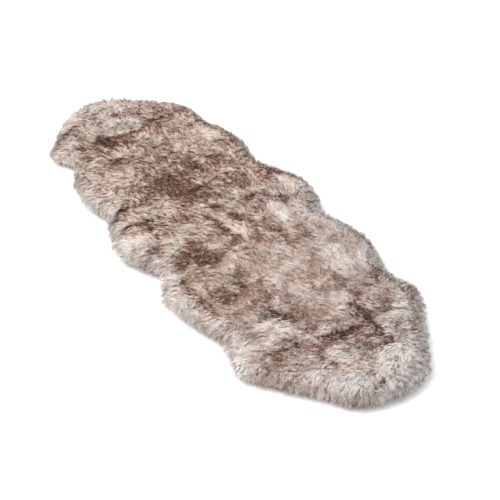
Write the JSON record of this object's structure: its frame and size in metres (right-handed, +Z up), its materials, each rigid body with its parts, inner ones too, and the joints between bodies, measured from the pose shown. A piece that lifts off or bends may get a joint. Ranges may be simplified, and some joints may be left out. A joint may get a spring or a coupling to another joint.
{
  "type": "lambskin rug",
  "caption": "Long lambskin rug with a lobed outline, rounded ends and a deep, tufted fleece, lying wool side up.",
  "frame": {"origin": "on the floor, under the middle of the rug's box", "axes": "+Z up out of the wool, +Y along the rug to its far end, the one with the neck flap, +X across the rug to the right on the way there"},
  "size_m": [0.7122, 1.7622, 0.0637],
  "materials": {
    "wool": "long, silky, slightly crimped wool, cream at the root with brown tips, pale grey along the rim",
    "undercoat": "dense soft underwool, matte, seen in the partings between the locks",
    "hide": "suede side of the tanned skin, pale tan and matte",
    "thread": "waxed sewing thread, matte"
  },
  "bodies": {
    "root": {"pelt_near": "wool", "pelt_far": "wool"}
  },
  "joints": []
}
